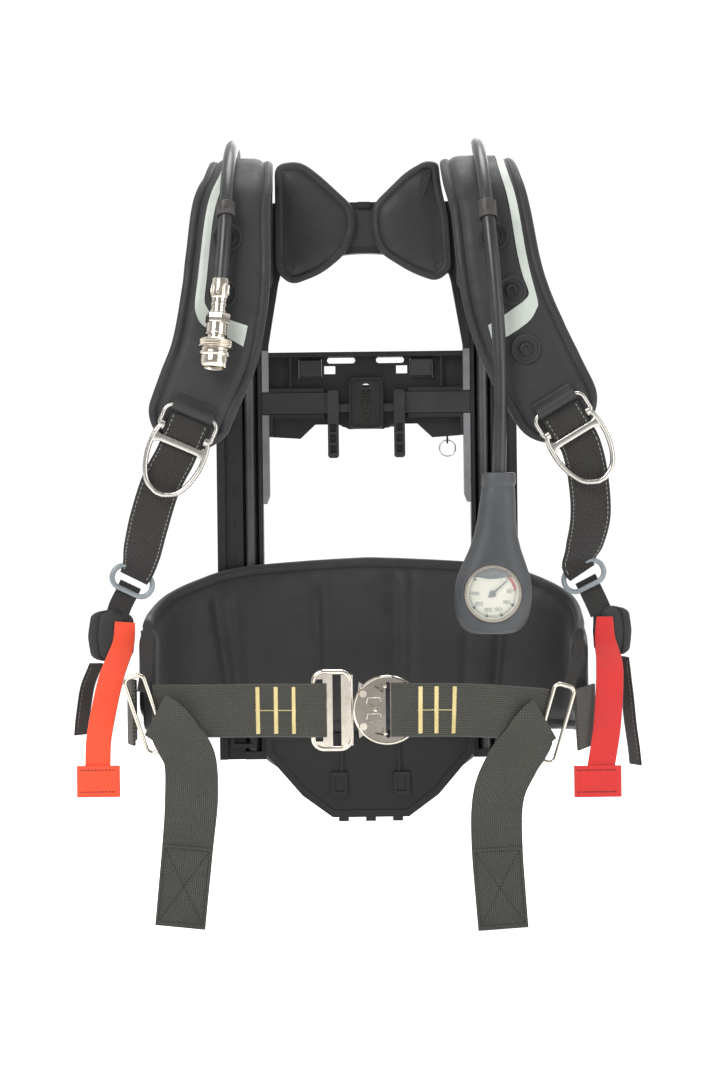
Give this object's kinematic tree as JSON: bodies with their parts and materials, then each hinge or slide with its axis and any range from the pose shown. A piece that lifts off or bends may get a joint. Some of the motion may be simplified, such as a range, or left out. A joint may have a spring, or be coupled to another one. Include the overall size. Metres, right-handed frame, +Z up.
{
  "type": "breathing apparatus back frame",
  "caption": "Wearable back frame for a breathing air cylinder, with padded shoulder harness, lumbar pad, waist belt and buckle, air hoses, gauge and cylinder band.",
  "frame": {"origin": "middle of the base tray's foot, which the frame stands on", "axes": "+Z up along the rails, -Y towards the wearer, +Y towards the cylinder, +X to the right of a viewer who faces the harness side"},
  "size_m": [0.5449, 0.3834, 0.7632],
  "materials": {
    "back_frame": "fine texture",
    "guides": "satin grey",
    "steel": "satin",
    "nickel": "polished nickel",
    "ring_coat": "semi gloss grey",
    "black_metal": "matt",
    "pad": "woven cover",
    "belt_webbing": "woven",
    "shoulder_webbing": "woven",
    "red_webbing": "woven",
    "rubber": "matt",
    "boot": "matt",
    "hose": "satin",
    "brass": "nickel plated brass",
    "dial": "printed",
    "lens": "clear",
    "pointer": "satin",
    "black_plastic": "semi gloss"
  },
  "bodies": {
    "frame": {"base_tray": "back_frame", "lumbar_plate": "back_frame", "left_rail": "back_frame", "right_rail": "back_frame", "guide_tubes": "guides", "frame_screws": "steel", "lumbar_pad": "pad", "reducer": "brass", "hose_unions": "brass", "left_lower_hose": "hose", "right_lower_hose": "hose", "hip_flaps": "pad", "hip_straps": "belt_webbing", "triglides": "nickel", "left_belt": "belt_webbing", "right_belt": "belt_webbing", "belt_tails": "belt_webbing", "buckle_body": "steel", "buckle_rivets": "steel", "pull_straps": "red_webbing", "hip_webbing": "shoulder_webbing", "webbing_rings": "ring_coat"},
    "carriage": {"yoke": "back_frame", "yoke_plate": "black_metal", "yoke_screws": "steel", "cradle": "back_frame", "rubber_blocks": "rubber", "sliders": "guides", "left_shoulder_pad": "pad", "right_shoulder_pad": "pad", "left_pad_wing": "pad", "right_pad_wing": "pad", "left_hose": "hose", "right_hose": "hose", "hose_collars": "black_plastic", "hose_buttons": "shoulder_webbing", "coupling_body": "brass", "gauge_case": "brass", "gauge_boot": "boot", "gauge_dial": "dial", "gauge_lens": "lens", "lever_bails": "steel", "lever_tabs": "shoulder_webbing", "left_webbing": "shoulder_webbing", "right_webbing": "shoulder_webbing", "cylinder_band": "belt_webbing", "band_buckle": "black_metal"},
    "buckle_tongue": {"buckle_frame": "steel"},
    "upper_clip": {"upper_clip": "steel"},
    "lower_clip": {"lower_clip": "steel"},
    "hand_wheel": {"hand_wheel": "black_plastic", "cylinder_connector": "brass"},
    "left_latch": {"left_latch": "black_metal"},
    "right_latch": {"right_latch": "black_metal"},
    "key_ring": {"key_ring": "steel"},
    "left_lever": {"left_lever": "steel"},
    "right_lever": {"right_lever": "steel"},
    "coupling_sleeve": {"coupling_sleeve": "brass"},
    "gauge_pointer": {"gauge_pointer": "pointer"},
    "band_lever": {"band_lever": "black_metal"}
  },
  "joints": [
    {"name": "height_slide", "type": "slide", "parent": "frame", "child": "carriage", "axis": [0, 0, 1], "range_m": [-0.033, 0.033], "deforming": ["left_webbing", "right_webbing"]},
    {"name": "left_latch_slide", "type": "slide", "parent": "carriage", "child": "left_latch", "axis": [1, 0, 0], "range_m": [0, 0.008], "stiffness_N_per_m": 800, "springref_m": -0.003},
    {"name": "right_latch_slide", "type": "slide", "parent": "carriage", "child": "right_latch", "axis": [-1, 0, 0], "range_m": [0, 0.008], "stiffness_N_per_m": 800, "springref_m": -0.003},
    {"name": "left_lever_hinge", "type": "hinge", "parent": "carriage", "child": "left_lever", "pos_m": [-0.1724, -0.163, 0.383], "axis": [-0.9177, 0, 0.3973], "range_deg": [0, 75]},
    {"name": "right_lever_hinge", "type": "hinge", "parent": "carriage", "child": "right_lever", "pos_m": [0.1902, -0.163, 0.388], "axis": [-0.859, 0, -0.512], "range_deg": [0, 75]},
    {"name": "key_ring_swing", "type": "hinge", "parent": "carriage", "child": "key_ring", "pos_m": [0.081, 0.006, 0.379], "axis": [1, 0, 0], "range_deg": [-60, 60]},
    {"name": "coupling_sleeve_slide", "type": "slide", "parent": "carriage", "child": "coupling_sleeve", "axis": [0.0901, 0.1467, 0.9851], "range_m": [0, 0.004], "stiffness_N_per_m": 900, "springref_m": -0.003},
    {"name": "gauge_pointer_hinge", "type": "hinge", "parent": "carriage", "child": "gauge_pointer", "pos_m": [0.1165, -0.175, 0.228], "axis": [0, 1, 0], "range_deg": [0, 240]},
    {"name": "band_lever_hinge", "type": "hinge", "parent": "carriage", "child": "band_lever", "pos_m": [0.023, 0.16265, 0.421], "axis": [0, 0, -1], "range_deg": [0, 110]},
    {"name": "buckle_slide", "type": "slide", "parent": "frame", "child": "buckle_tongue", "axis": [-1, 0, 0], "range_m": [0, 0.035], "deforming": ["left_belt"]},
    {"name": "upper_clip_hinge", "type": "hinge", "parent": "frame", "child": "upper_clip", "pos_m": [-0.0064, -0.206, 0.137], "axis": [0, -1, 0], "range_deg": [0, 8], "stiffness_Nm_per_rad": 0.4, "springref_deg": -5.73},
    {"name": "lower_clip_hinge", "type": "hinge", "parent": "frame", "child": "lower_clip", "pos_m": [-0.0064, -0.206, 0.1066], "axis": [0, 1, 0], "range_deg": [0, 8], "stiffness_Nm_per_rad": 0.4, "springref_deg": -5.73},
    {"name": "hand_wheel_spin", "type": "hinge", "parent": "frame", "child": "hand_wheel", "pos_m": [0, 0.05, 0.048], "axis": [0, 1, 0], "continuous": true}
  ]
}
